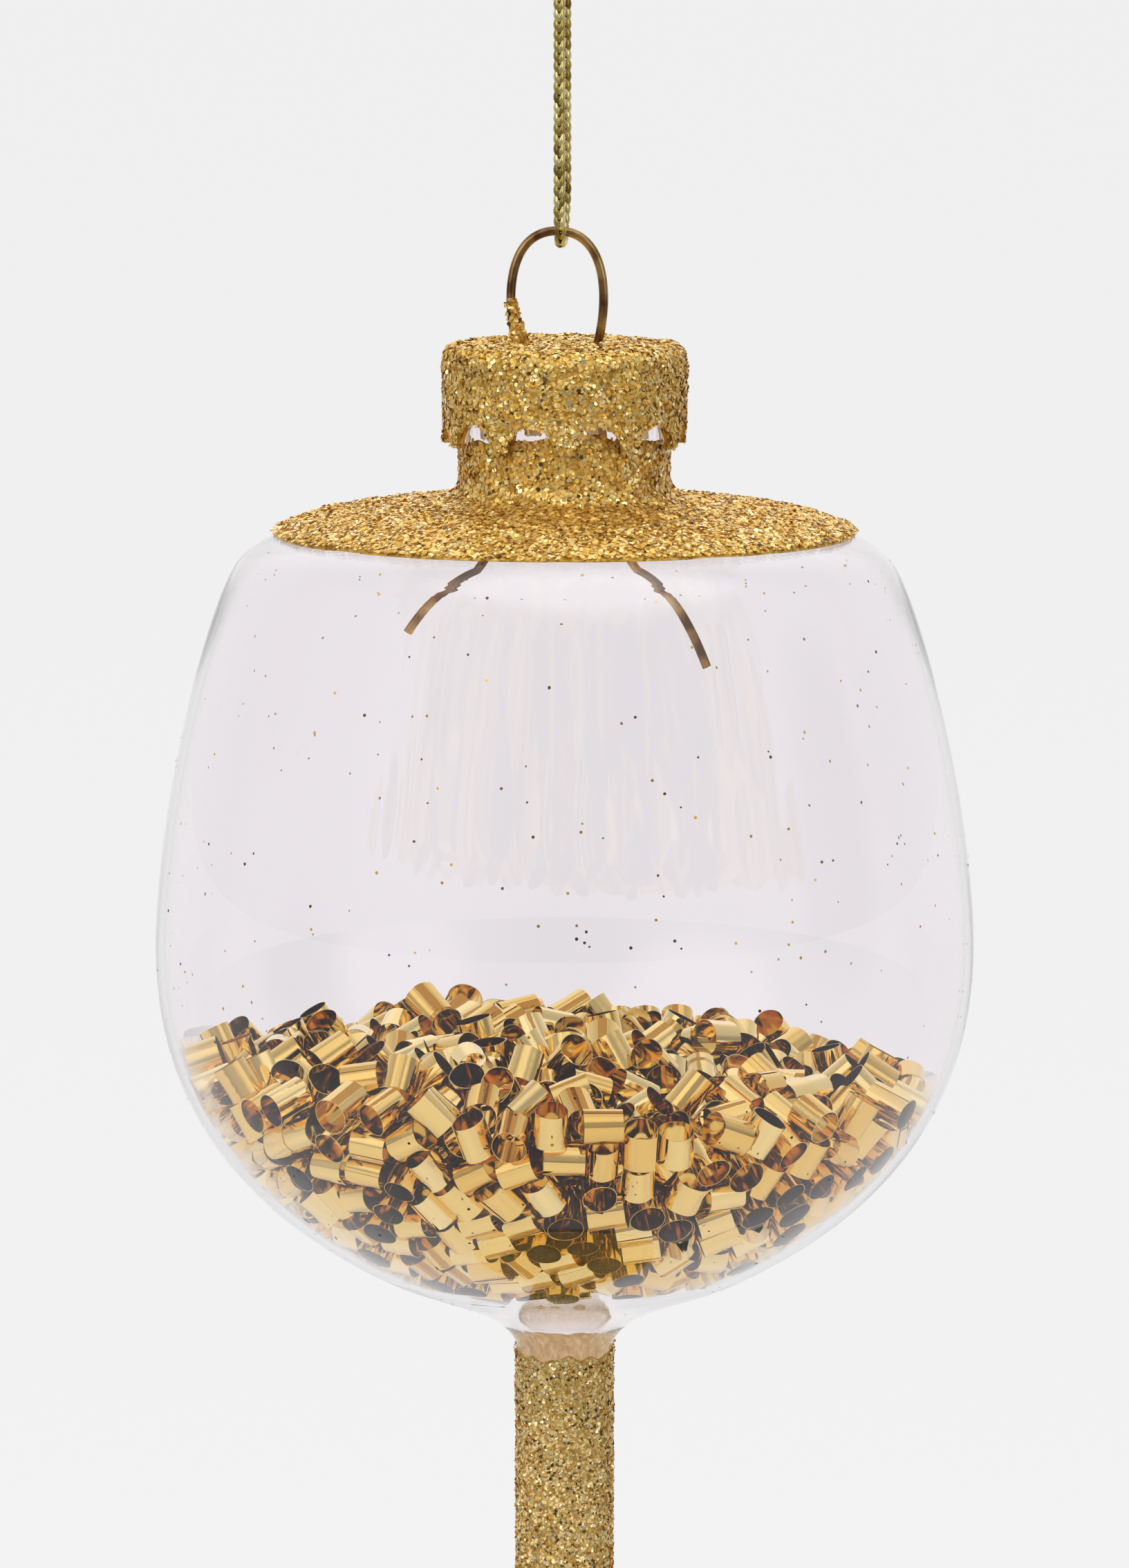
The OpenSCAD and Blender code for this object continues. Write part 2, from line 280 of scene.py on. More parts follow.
# The room that mirrors show. Each kind of mirror has its own, as if behind a polariser: the
# glass, the glitter and, last, the foil. First the room's brightness from the camera's side
# to the far side, then its soft round lights and dark patches: the way to each, the angles at
# which its edge begins and ends to fade, and its brightness.
ROOM_STOPS = (0.0, 0.35, 0.7, 0.9, 1.0)
ROOMS = (
    (0.42, 0.44, 0.50, 0.80, 0.95),
    (0.31, 0.35, 0.50, 0.80, 0.95),
    (0.42, 0.46, 0.64, 0.85, 0.95))
PATCHES = (
    ((0.0, -1.0, -0.35), 14, 36, (0.05, 0.30, 0.26)),
    ((-1.0, -0.25, -0.25), 4, 22, (0.08, 0.25, 0.25)),
    ((1.0, -0.1, 0.1), 4, 20, (0.08, 0.28, 0.27)),
    ((0.1, -0.3, -1.0), 15, 50, (0.07, 0.25, 0.75)),
    ((-0.7, -0.75, 0.55), 16, 32, (0.60, 1.50, 1.22)),
    ((0.85, -0.7, 0.25), 12, 26, (0.50, 1.30, 1.10)),
    ((0.1, -0.25, 1.0), 20, 42, (1.80, 1.55, 1.12)),
    ((0.0, 0.75, 0.66), 14, 32, (1.00, 1.20, 1.10)))


def patch_edges(nodes, direction):
    """How much of each patch a ray sees, from 0 to 1."""
    edges = []
    for toward, inner_deg, outer_deg, _ in PATCHES:
        aim = nodes.add("ShaderNodeVectorMath")
        aim.operation = "DOT_PRODUCT"
        nodes.put(aim, "0", direction)
        aim.inputs[1].default_value = Vector(toward).normalized()
        edge = nodes.add("ShaderNodeMapRange", Value=aim.outputs["Value"])
        edge.interpolation_type = "SMOOTHSTEP"
        edge.inputs["From Min"].default_value = math.cos(math.radians(outer_deg))
        edge.inputs["From Max"].default_value = math.cos(math.radians(inner_deg))
        edges.append(edge.outputs[0])
    return edges


def add_world():
    """Even white behind the ornament, and a studio with a dim side for mirrors to show."""
    world = bpy.data.worlds.new("studio")
    world.use_nodes = True
    bpy.context.scene.world = world
    nodes = Nodes(world.node_tree, "ShaderNodeOutputWorld")
    direction = nodes.add("ShaderNodeTexCoord").outputs["Generated"]
    part = nodes.add("ShaderNodeSeparateXYZ", Vector=direction)
    depth = nodes.math("MULTIPLY_ADD", part.outputs["Y"], 0.5)
    depth.node.inputs[2].default_value = 0.5
    edges = patch_edges(nodes, direction)
    glass, glitter, foil = (
        nodes.ramp(depth, *((at, (shade,) * 3) for at, shade in zip(ROOM_STOPS, shades)))
        for shades in ROOMS)
    for edge, (_, _, _, strengths) in zip(edges, PATCHES):
        glass, glitter, foil = (
            nodes.mix(edge, room, (strength,) * 3)
            for room, strength in zip((glass, glitter, foil), strengths))
    path = nodes.add("ShaderNodeLightPath")
    rough = nodes.math("SUBTRACT", 1.0, path.outputs["Is Singular Ray"])
    through_glass = nodes.math("GREATER_THAN", path.outputs["Transmission Depth"], 2.5)
    mirrored = nodes.mix(through_glass, nodes.mix(rough, glass, glitter), foil)
    colour = nodes.mix(sees_background(nodes), mirrored, (BACKGROUND,) * 3)
    nodes.surface(nodes.add("ShaderNodeBackground", Color=colour, Strength=1.0))


def add_floor():
    """A wide pale floor below the ornament, which mirrors and the ornament's underside skip."""
    half, z = FLOOR_HALF, FOOT_Z - FLOOR_DROP
    corners = [(-half, -half, z), (half, -half, z), (half, half, z), (-half, half, z)]
    floor = make_mesh("floor", corners, [(0, 1, 2, 3)], [floor_paint()])
    floor.visible_glossy = False
    floor.visible_diffuse = False


def floor_paint():
    material, nodes = new_material("floor_paint")
    matt = nodes.add("ShaderNodeBsdfDiffuse", Color=(0.85, 0.85, 0.85, 1))
    even = nodes.add("ShaderNodeEmission", Color=(BACKGROUND,) * 3 + (1,))
    nodes.surface(nodes.blend(FLOOR_GLOW, matt, even))
    return material


# ------------------------------ meshes


def make_mesh(name, points, faces, materials=(), indices=None, smooth=False, sharp_deg=None):
    """An object from points in millimetres and faces, given as lists or one array of rows."""
    points = np.asarray(points, float) * MM
    mesh = bpy.data.meshes.new(name)
    sizes = np.array([len(f) for f in faces], np.int32)
    if isinstance(faces, np.ndarray):
        corners = faces.astype(np.int32).ravel()
    else:
        corners = np.concatenate([np.asarray(f, np.int32) for f in faces])
    mesh.vertices.add(len(points))
    mesh.vertices.foreach_set("co", points.astype(np.float32).ravel())
    mesh.loops.add(len(corners))
    mesh.loops.foreach_set("vertex_index", corners)
    mesh.polygons.add(len(sizes))
    starts = np.concatenate([[0], np.cumsum(sizes)[:-1]])
    mesh.polygons.foreach_set("loop_start", starts.astype(np.int32))
    for material in materials:
        mesh.materials.append(material)
    if indices is not None:
        mesh.polygons.foreach_set("material_index", np.asarray(indices, np.int32))
    mesh.update(calc_edges=True)
    mesh.validate()
    if smooth:
        mesh.shade_smooth()
        if sharp_deg:
            mesh.set_sharp_from_angle(angle=math.radians(sharp_deg))
    piece = bpy.data.objects.new(name, mesh)
    bpy.context.scene.collection.objects.link(piece)
    return piece


def dress(piece, body):
    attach(piece, body)


def unit(rows):
    """Rows of vectors at length 1."""
    return rows / np.linalg.norm(rows, axis=1)[:, None]


def distances(line):
    """How far along a line each of its points lies."""
    return np.concatenate([[0], np.cumsum(np.linalg.norm(np.diff(line, axis=0), axis=1))])


def read_at(line, along, at):
    """A line's columns at distances at; along are its points' own distances."""
    return np.stack([np.interp(at, along, column) for column in line.T], 1)


def round_angles(count):
    return np.arange(count) * 2 * math.pi / count


def grid_faces(rows, columns, wrap_rows=False, wrap_columns=True):
    """Quads between the rows of a grid of points, as an array."""
    row = np.arange(rows if wrap_rows else rows - 1)[:, None]
    column = np.arange(columns if wrap_columns else columns - 1)[None, :]
    next_row, next_column = (row + 1) % rows, (column + 1) % columns
    quads = [row * columns + column, row * columns + next_column,
             next_row * columns + next_column, next_row * columns + column]
    shape = (len(row), column.shape[1])
    return np.stack([np.broadcast_to(q, shape) for q in quads], -1).reshape(-1, 4)


def turn(section, steps):
    """The points of a half section, [radius, height], turned round the axis."""
    angle = round_angles(steps)
    r, z = np.asarray(section, float).T
    return np.stack([np.outer(r, np.cos(angle)), np.outer(r, np.sin(angle)),
                     np.repeat(z[:, None], steps, 1)], -1).reshape(-1, 3)


def frames_along(points, side):
    """Two directions across a route at each of its points; side is never along it."""
    run = unit(np.gradient(points, axis=0))
    across = unit(np.cross(run, side))
    return across, np.cross(run, across)


def rod_faces(rings, sides, flip=False):
    """Quads along a rod, and its two end faces."""
    last = (rings - 1) * sides
    faces = [tuple(f) for f in grid_faces(rings, sides)]
    faces += [tuple(reversed(range(sides))), tuple(range(last, last + sides))]
    return [face[::-1] for face in faces] if flip else faces


def tube(points, radius, sides, side):
    """Points and faces of a closed round rod along a route."""
    u, v = frames_along(points, side)
    angle = round_angles(sides)[None, :, None]
    ring = points[:, None] + radius * (np.cos(angle) * u[:, None] + np.sin(angle) * v[:, None])
    return ring.reshape(-1, 3), rod_faces(len(points), sides, flip=True)


def joined(parts):
    """One list of points and faces from several."""
    points, faces, start = [], [], 0
    for p, f in parts:
        points.append(p)
        faces += [tuple(i + start for i in face) for face in f]
        start += len(p)
    return np.concatenate(points), faces


def smooth_route(points, step):
    """A smooth curve through the given points, with a point every step."""
    p = np.asarray(points, float)
    padded = np.vstack([2 * p[0] - p[1], p, 2 * p[-1] - p[-2]])
    t = np.linspace(0, 1, 12, endpoint=False)[:, None]
    parts = []
    for a, b, c, d in zip(padded, padded[1:], padded[2:], padded[3:]):
        parts.append(0.5 * (2 * b + (c - a) * t + (2 * a - 5 * b + 4 * c - d) * t ** 2
                            + (3 * b - a - 3 * c + d) * t ** 3))
    dense = np.vstack(parts + [p[-1:]])
    along = distances(dense)
    return read_at(dense, along, np.linspace(0, along[-1], int(along[-1] / step) + 1))


# ------------------------------ outlines


def curve(a, b, c, d, n):
    """n points of a cubic curve from a to d, without d itself."""
    t = (np.arange(n) / n)[:, None]
    s = 1 - t
    a, b, c, d = (np.array(p, float) for p in (a, b, c, d))
    return s ** 3 * a + 3 * s * s * t * b + 3 * s * t * t * c + t ** 3 * d


def spline(a, from_a, from_d, d, n):
    """The same, with the handles given from their own ends of the curve."""
    return curve(a, np.add(a, from_a), np.add(d, from_d), d, n)


def outer_line():
    """The bowl's outer outline, from the neck's top down to the stem."""
    fillet_r = NECK_R + FILLET_REACH
    fillet_z = NECK_ROOT_Z - NECK_FILLET
    return np.vstack([
        [(NECK_R, NECK_TOP_Z), (NECK_R, COAT_START_Z)],
        curve((NECK_R, NECK_ROOT_Z), (NECK_R, NECK_ROOT_Z - 0.75 * NECK_FILLET),
              (NECK_R + 0.4 * FILLET_REACH, NECK_ROOT_Z - 0.9 * NECK_FILLET),
              (fillet_r, fillet_z), 12),
        spline((fillet_r, fillet_z), (7, -0.5), (-4.1, 4.1), (SHOULDER_R, SHOULDER_Z), 30),
        spline((SHOULDER_R, SHOULDER_Z), (3.2, -3.4), (0, 12.5), (BOWL_R, BELLY_Z - 1.5), 36),
        spline((BOWL_R, BELLY_Z - 1.5), (0, -16.3), (11.6, 6.1), (FUNNEL_R, FUNNEL_Z), 40),
        spline((FUNNEL_R, FUNNEL_Z), (-6.6, -3.6), (0, 5.4), (STEM_R, STEM_ROOT_Z), 60),
        [(STEM_R, STEM_ROOT_Z)]])


def foot_line():
    """The foot's outer outline, from the stem's end to the rim's underside."""
    foot_h = STEM_END_Z - FOOT_Z
    return np.vstack([
        curve((STEM_R, STEM_END_Z), (STEM_R, STEM_END_Z - 0.55 * foot_h),
              (STEM_R + 3, FOOT_Z + FOOT_RIM + 1), (FOOT_R * 0.5, FOOT_Z + FOOT_RIM + 0.5), 16),
        [(FOOT_R * 0.5, FOOT_Z + FOOT_RIM + 0.5), (FOOT_R - 0.5, FOOT_Z + FOOT_RIM),
         (FOOT_R, FOOT_Z + FOOT_RIM - 0.5), (FOOT_R, FOOT_Z + 0.3), (FOOT_R - 0.3, FOOT_Z)]])


def line_normals(line):
    """Unit normals of an outline, away from the axis or up."""
    run = np.gradient(line, axis=0)
    return unit(np.stack([-run[:, 1], run[:, 0]], 1))


def inner_line():
    """The bowl's inner outline. As in blown glass, the wall is thinner where the shoulder
    bends, and it thickens in the throat, above the stem."""
    line = outer_line()
    z = line[:, 1]
    thickens_z = STEM_ROOT_Z + THROAT_RISE
    share = np.clip((thickens_z - z) / (thickens_z - STEM_ROOT_Z), 0, 1)
    thinned = SHOULDER_THINNING * np.exp(-((z - SHOULDER_Z) / THINNING_REACH) ** 2)
    wall = WALL - thinned + (STEM_WALL - WALL) * share * share * (3 - 2 * share)
    return line - wall[:, None] * line_normals(line)


def stretch(line, z_high, z_low):
    """An outline's points between two heights, ends included."""
    r = np.interp([z_high, z_low], line[::-1, 1], line[::-1, 0])
    inside = line[(line[:, 1] < z_high - 0.01) & (line[:, 1] > z_low + 0.01)]
    return np.vstack([[(r[0], z_high)], inside, [(r[1], z_low)]])


# ------------------------------ materials


def new_material(name):
    material = bpy.data.materials.new(name)
    material.use_nodes = True
    return material, Nodes(material.node_tree)


def principled(name, **inputs):
    """A material with one Principled shader; returns it, its nodes and the shader."""
    material, nodes = new_material(name)
    shader = nodes.add("ShaderNodeBsdfPrincipled", **inputs)
    nodes.surface(shader)
    return material, nodes, shader


def clear_glass():
    """Blown glass: a faint lilac body, faint streaks in its surface, open to light for shadows."""
    material, nodes, glass = principled(
        "clear_glass", Roughness=0.0, IOR=1.48, Transmission_Weight=1.0,
        Base_Color=(0.990, 0.964, 0.982, 1))
    stretched = nodes.add("ShaderNodeMapping", Vector=nodes.place())
    stretched.inputs["Scale"].default_value = (60, 60, 22)
    streaks = nodes.noise(1.0, detail=1.5, vector=stretched.outputs[0])
    nodes.put(glass, "Normal", nodes.bump(streaks, 0.25, 0.12))
    clear = nodes.add("ShaderNodeBsdfTransparent", Color=(0.97, 0.965, 0.97, 1))
    path = nodes.add("ShaderNodeLightPath")
    nodes.surface(nodes.blend(path.outputs["Is Shadow Ray"], glass, clear))
    return material


CHAMPAGNE = (1.0, 0.76, 0.33)
GLITTER_OPEN = 0.8  # how much of the light that is already scattered passes the glitter


def lets_light_through(nodes, shader):
    """Glitter in clear glue: much of the light that is already scattered passes it."""
    through = nodes.add("ShaderNodeBsdfTransparent", Color=(0.93, 0.76, 0.46, 1))
    scattered = nodes.add("ShaderNodeLightPath").outputs["Is Diffuse Ray"]
    share = nodes.math("MULTIPLY", scattered, GLITTER_OPEN)
    nodes.surface(nodes.blend(share, shader, through))


def flake(name, colour, roughness, metallic=1.0):
    """One kind of glitter flake: a tinted film with fine scratches."""
    material, nodes, shader = principled(
        name, Base_Color=(*colour, 1), Metallic=metallic, Roughness=roughness)
    scratches = nodes.noise(9000.0, detail=1.0)
    nodes.put(shader, "Normal", nodes.bump(scratches, 0.01, 0.3))
    lets_light_through(nodes, shader)
    return material


def glitter_bed(name, cell_mm, pale):
    """The coat under the loose flakes: cells that each tilt and tint their own way. Of
    their colour, the share pale is champagne."""
    material, nodes, shader = principled(name, Metallic=0.6, Roughness=0.42)
    place = nodes.place()
    cells = nodes.cells(1000 / cell_mm, "Color", place)
    tint = nodes.add("ShaderNodeSeparateColor", Color=cells)
    colour = nodes.ramp(tint.outputs[0], (0.0, (0.30, 0.15, 0.01)), (0.3, (0.58, 0.34, 0.05)),
                        (0.75, (0.76, 0.48, 0.09)), (1.0, (0.92, 0.68, 0.22)))
    nodes.put(shader, "Base Color", nodes.mix(pale, colour, CHAMPAGNE))
    nodes.put(shader, "Normal", nodes.bump(tint.outputs[1], cell_mm * 0.4, 0.8))
    lets_light_through(nodes, shader)
    return material


def glue_back():
    """The coat's underside, seen through the glass: tan glue that light shines through. Its
    glow is painted light: an emission that stands in for the light coming through the coat."""
    material, nodes = new_material("glue_back")
    spots = nodes.noise(1500.0, detail=2.0)
    colour = nodes.ramp(spots, (0.35, (0.60, 0.44, 0.24)), (0.6, (0.76, 0.60, 0.38)),
                        (0.75, (0.88, 0.75, 0.55)))
    matt = nodes.add("ShaderNodeBsdfDiffuse", Color=colour)
    glow = nodes.add("ShaderNodeBsdfTranslucent", Color=colour)
    # painted glow: an emission in the glue's colour, in place of the light that passes the coat
    lit = nodes.add("ShaderNodeEmission", Color=colour, Strength=0.45)
    total = nodes.add("ShaderNodeAddShader")
    nodes.put(total, "0", nodes.blend(0.6, matt, glow).outputs[0])
    nodes.put(total, "1", lit.outputs[0])
    nodes.surface(total)
    return material


def foil_outside():
    """Mirror gold film with fine creases; each roll has its own tint."""
    material, nodes, shader = principled("gold_foil_outside", Metallic=1.0, Roughness=0.07)
    roll = nodes.add("ShaderNodeNewGeometry").outputs["Random Per Island"]
    colour = nodes.ramp(roll, (0.0, (0.88, 0.59, 0.16)), (0.5, (0.93, 0.68, 0.23)),
                        (1.0, (0.97, 0.78, 0.36)))
    nodes.put(shader, "Base Color", colour)
    creases = nodes.noise(1100.0, detail=1.0)
    nodes.put(shader, "Normal", nodes.bump(creases, 0.08, 0.14))
    return material


def foil_inside():
    """The film's inner side: a darker amber copy of the outer gold, painted shade of the rolls'
    insides.
    """
    material, nodes, shader = principled("gold_foil_inside", Metallic=1.0, Roughness=0.1)
    roll = nodes.add("ShaderNodeNewGeometry").outputs["Random Per Island"]
    # painted shade: the inner side's colours are kept darker than the outer side's
    colour = nodes.ramp(roll, (0.0, (0.68, 0.39, 0.06)), (0.6, (0.82, 0.54, 0.11)),
                        (1.0, (0.92, 0.68, 0.21)))
    nodes.put(shader, "Base Color", colour)
    return material


def cord_thread():
    """Flat metallic thread: each stitch has its own tone, from brown to pale gold."""
    material, nodes, shader = principled("gold_cord", Metallic=0.9, Roughness=0.24)
    stitch = nodes.add("ShaderNodeNewGeometry").outputs["Random Per Island"]
    colour = nodes.ramp(stitch, (0.0, (0.22, 0.15, 0.03)), (0.4, (0.58, 0.45, 0.14)),
                        (1.0, (0.92, 0.81, 0.40)))
    nodes.put(shader, "Base Color", colour)
    nodes.put(shader, "Normal", nodes.bump(nodes.noise(5000.0, detail=2.0), 0.03, 0.5))
    return material


def bronze_wire():
    """Spring wire, golden brown, with patches of painted shade: the dark of its shaded edges, put
    at random.
    """
    material, nodes, shader = principled("bronze_wire", Metallic=0.95, Roughness=0.24)
    shade_patches = nodes.noise(260.0, detail=3.0)
    # the darkest stop is painted shade, taken from the wire's shaded edges
    colour = nodes.ramp(shade_patches, (0.38, (0.13, 0.065, 0.03)), (0.5, (0.36, 0.21, 0.08)),
                        (0.64, (0.60, 0.39, 0.16)))
    nodes.put(shader, "Base Color", colour)
    nodes.put(shader, "Normal", nodes.bump(nodes.noise(3000.0), 0.02, 0.3))
    return material


def cap_metal():
    material, nodes, shader = principled("gold_cap", Metallic=1.0, Roughness=0.25)
    colour = nodes.ramp(nodes.noise(250.0, detail=3.0), (0.3, (0.70, 0.48, 0.20)),
                        (0.7, (0.86, 0.65, 0.33)))
    nodes.put(shader, "Base Color", colour)
    return material


# ------------------------------ the cord

STITCH_PITCH = 1.0
STITCH_LEN = 1.7
STITCH_ROWS = 4
CORD_STEP = 0.12


def knit(route, side, radius):
    """Points and faces of a knitted cord: rows of slanting stitches round a thin core."""
    u, v = frames_along(route, side)
    along = distances(route)
    t = np.linspace(0, 1, 9)
    parts = [tube(route, radius * 0.5, 10, side)]
    for row in range(STITCH_ROWS):
        slant = math.radians(84) * (1 if row % 2 else -1)
        angle = math.radians(45) + row * math.pi / 2 + slant * (t - 0.5)
        reach = radius * (0.42 + 0.34 * np.sin(math.pi * t))
        half_width = radius * 0.46 * np.sin(math.pi * (0.12 + 0.76 * t))
        for start in np.arange(0, along[-1] - STITCH_LEN, STITCH_PITCH):
            at = start + STITCH_LEN * t
            here, a, b = (read_at(line, along, at) for line in (route, u, v))
            out = np.cos(angle)[:, None] * a + np.sin(angle)[:, None] * b
            parts.append(flat_thread(here + reach[:, None] * out, out, half_width))
    return joined(parts)


def flat_thread(points, out, half_width):
    """A flat thread along points, its face turned outwards."""
    run = unit(np.gradient(points, axis=0))
    across = unit(np.cross(run, out))
    sides = 8
    angle = round_angles(sides)[None, :, None]
    wide = 1.25 * np.cos(angle) * across[:, None]
    thick = 0.6 * np.sin(angle) * np.cross(across, run)[:, None]
    ring = points[:, None] + half_width[:, None, None] * (wide + thick)
    return ring.reshape(-1, 3), rod_faces(len(points), sides)


def add_cord(thread):
    """The doubled cord, its knot and its two cut ends."""
    route = smooth_route(CORD_ROUTE, CORD_STEP)
    points, faces = knit(route, (1, 0, 0), CORD_D / 2)
    cord = make_mesh("cord", points, faces, [thread], smooth=True)
    knot = add_knot(thread)
    tails = add_tails(thread)
    for piece, node in ((cord, "cord_loop"), (knot, "cord_knot"), (tails, "cord_tails")):
        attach(piece, "cord")
        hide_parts(node)


def add_knot(thread):
    """An overhand knot: the cord's turns, one over the other."""
    t = np.linspace(0, 2 * math.pi, 160, endpoint=False)
    size = KNOT_D / 2 - CORD_D / 2
    loops = np.stack([size * (np.sin(t) + 0.55 * np.sin(2 * t)) / 1.4,
                      size * (np.cos(t) - 0.55 * np.cos(2 * t)) / 1.4,
                      0.8 * size * np.sin(3 * t)], 1)
    loops = np.vstack([loops, loops[:1]])
    points, faces = knit(loops + (0, 0, KNOT_Z), (0.3, 0.2, 0.93), CORD_D / 2)
    return make_mesh("cord_knot_turns", points, faces, [thread], smooth=True)


def add_tails(thread):
    """The cord's two cut ends, above the knot."""
    top = KNOT_Z + KNOT_D / 2
    parts = []
    for side in (-1, 1):
        route = smooth_route([
            (0, side * 0.6, KNOT_Z), (0, side * 0.8, KNOT_Z + 0.6), (side * 0.3, side * 1.0, top),
            (side * 0.6, side * 1.4, top + 3), (side * 0.8, side * 2.1, top + 5.8)], CORD_STEP)
        parts.append(knit(route, (1, 0, 0), CORD_D / 2))
    points, faces = joined(parts)
    return make_mesh("cord_cut_ends", points, faces, [thread], smooth=True)


# ------------------------------ the hanger wire


def half_eye(side, steps=40):
    """The eye's left or right half, from inside the cap's top up to the middle."""
    foot_x = EYE_X + side * FEET_GAP / 2
    bulge = EYE_X + side * (0.71 * EYE_W - 0.18 * FEET_GAP)
    eye_h = EYE_Z - CAP_TOP_Z
    line = curve((foot_x, CAP_TOP_Z), (bulge, CAP_TOP_Z + 0.36 * eye_h),
                 (bulge + side * 0.1, EYE_Z), (EYE_X, EYE_Z), steps)
    y = side * FOOT_Y * (1 - np.arange(steps) / steps) ** 2
    rise = np.linspace(EYE_END_Z, CAP_TOP_Z, 4, endpoint=False)[:, None]
    foot = np.hstack([np.full_like(rise, foot_x), np.full_like(rise, side * FOOT_Y), rise])
    return np.vstack([foot, np.stack([line[:, 0], y, line[:, 1]], 1)])


def leg_route(side, drop, steps=30):
    """A spring leg, from the cap down to its tip: nearly straight to the knee, then outwards."""
    foot = np.array((EYE_X + side * FEET_GAP / 2, PIVOT_Z))
    knee = np.array((side * KNEE_OUT, -LEG_KNEE))
    tip = np.array((side * LEG_REACH, -drop))
    bend = tip - knee
    line = foot + np.vstack([
        curve((0, 0), (side * 0.5, -0.4 * LEG_KNEE), (side, -0.75 * LEG_KNEE), knee, steps),
        curve(knee, knee + (side * 2.2, -1.2), tip - (0.34 * bend[0], 0.5 * bend[1]), tip, steps),
        [tip]])
    return np.stack([line[:, 0], np.full(len(line), side * FOOT_Y), line[:, 1]], 1)


def add_wire(bronze):
    eye = np.vstack([half_eye(-1), [(EYE_X, 0, EYE_Z)], half_eye(1)[::-1]])
    for name, route, body, node in (
            ("hanger_eye", eye, "hanger", "wire_eye"),
            ("left_leg_wire", leg_route(-1, LEFT_LEG_DROP), "left_leg", "left_spring_leg"),
            ("right_leg_wire", leg_route(1, RIGHT_LEG_DROP), "right_leg", "right_spring_leg")):
        points, faces = tube(route, WIRE_D / 2, 20, (0, 1, 0))
        wire = make_mesh(name, points, faces, [bronze], smooth=True, sharp_deg=50)
        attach(wire, body)
        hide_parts(node)


# ------------------------------ the glass


def add_glass(glass):
    """Bowl, stem and foot as one fused glass."""
    bore_end = FOOT_Z + FOOT_RIM + 1
    axis_r = 0.02
    section = np.vstack([
        outer_line(), foot_line(), [(axis_r, FOOT_Z), (axis_r, bore_end - 0.1)],
        [(BORE_R - 1, bore_end), (BORE_R, bore_end + 1)], inner_line()[::-1]])
    steps = 240
    faces = grid_faces(len(section), steps, wrap_rows=True)
    goblet = make_mesh("goblet_glass", turn(section, steps), faces[:, ::-1], [glass],
                       smooth=True, sharp_deg=40)
    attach(goblet, "glass")
    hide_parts("glass_neck", "glass_shoulder", "glass_bowl_upper", "glass_bowl_lower",
                "glass_funnel", "glass_stem", "glass_foot")


# ------------------------------ glitter

# How many flakes are dropped on each coat; some miss it. The exporter thins a piece with more
# than 200,000 triangles, and a flake has four.
CAP_FLAKES = 30000
SHOULDER_FLAKES = 49000
STEM_FLAKES = 32000
FOOT_FLAKES = 38000
CLUMP_FLAKES = 700
LOOSE_SPECKS = 400
# Shares of the flake kinds, in the order gold, pale (champagne in the fine grade), deep, bright
# and dark, and for specks gold, deep and dark; the dark flakes are painted shade.
COARSE_WEIGHTS = (44, 24, 18, 10, 4)
FINE_WEIGHTS = (22, 40, 8, 21, 9)
SPECK_WEIGHTS = (30, 35, 35)
CLUMP_H = 4.8


def scatter(line, count, rng):
    """Random points on a surface of revolution, even by area: their places, normals,
    distances along the outline and angles round the axis."""
    steps = np.linalg.norm(np.diff(line, axis=0), axis=1)
    area = steps * (line[:-1, 0] + line[1:, 0])
    share = np.concatenate([[0], np.cumsum(area)]) / area.sum()
    at = rng.random(count)
    slope = line_normals(line)
    along = np.interp(at, share, distances(line))
    r, z, nr, nz = (np.interp(at, share, values) for values in (*line.T, *slope.T))
    angle = rng.random(count) * 2 * math.pi
    c, s = np.cos(angle), np.sin(angle)
    return np.stack([r * c, r * s, z], 1), np.stack([nr * c, nr * s, nz], 1), along, angle


def wave(angle, size, seed, turns=(2, 3, 5, 9, 14, 23)):
    """A smooth random function of the angle round the axis, mostly within size of zero."""
    phases = np.random.default_rng(seed).uniform(0, 2 * math.pi, len(turns))
    share = size / math.sqrt(len(turns) / 2)
    return share * sum(np.cos(k * angle + p) for k, p in zip(turns, phases))


def lumps(points, size):
    """A smooth random relief over points, mostly within size of zero, and its slope. Its
    lumps are 1.5 to 4 mm wide."""
    count = 14
    rng = np.random.default_rng(6)
    waves = rng.normal(size=(count, 3))
    waves *= (2 * math.pi / rng.uniform(1.5, 4, count) / np.linalg.norm(waves, axis=1))[:, None]
    phase = points @ waves.T + rng.uniform(0, 2 * math.pi, count)
    share = size / math.sqrt(count / 2)
    return share * np.sin(phase).sum(-1), share * np.cos(phase) @ waves


def coat_shell(name, line, start, end, materials, lump, seed):
    """A thin coat on a glass of revolution. Its edges lie at start and end, two functions
    of the angle that give distances along the outline; its back is set into the glass."""
    columns, rows = 360, 90
    rng = np.random.default_rng(seed)
    angle = round_angles(columns)
    along = distances(line)
    share = np.linspace(0, 1, rows)[:, None]
    at = start(angle) * (1 - share) + (along[-1] + end(angle)) * share
    r, z, nr, nz = (np.interp(at, along, values) for values in (*line.T, *line_normals(line).T))

    def sheet(lift):
        radius = r + nr * lift
        return np.stack([radius * np.cos(angle), radius * np.sin(angle), z + nz * lift], -1)

    edge = np.minimum(at - at[0], at[-1] - at) / COAT_BEVEL
    relief, _ = lumps(sheet(COAT), lump)
    height = (COAT * rng.uniform(0.75, 1.0, at.shape) + relief) * np.clip(edge, 0.05, 1)
    points = np.concatenate([sheet(np.maximum(height, 0.03)), sheet(-COAT_SINK)[::-1]])
    faces = grid_faces(2 * rows, columns, wrap_rows=True)
    kinds = np.repeat(np.arange(2 * rows) >= rows, columns).astype(int)
    return make_mesh(name, points.reshape(-1, 3), faces, materials, kinds, smooth=True)


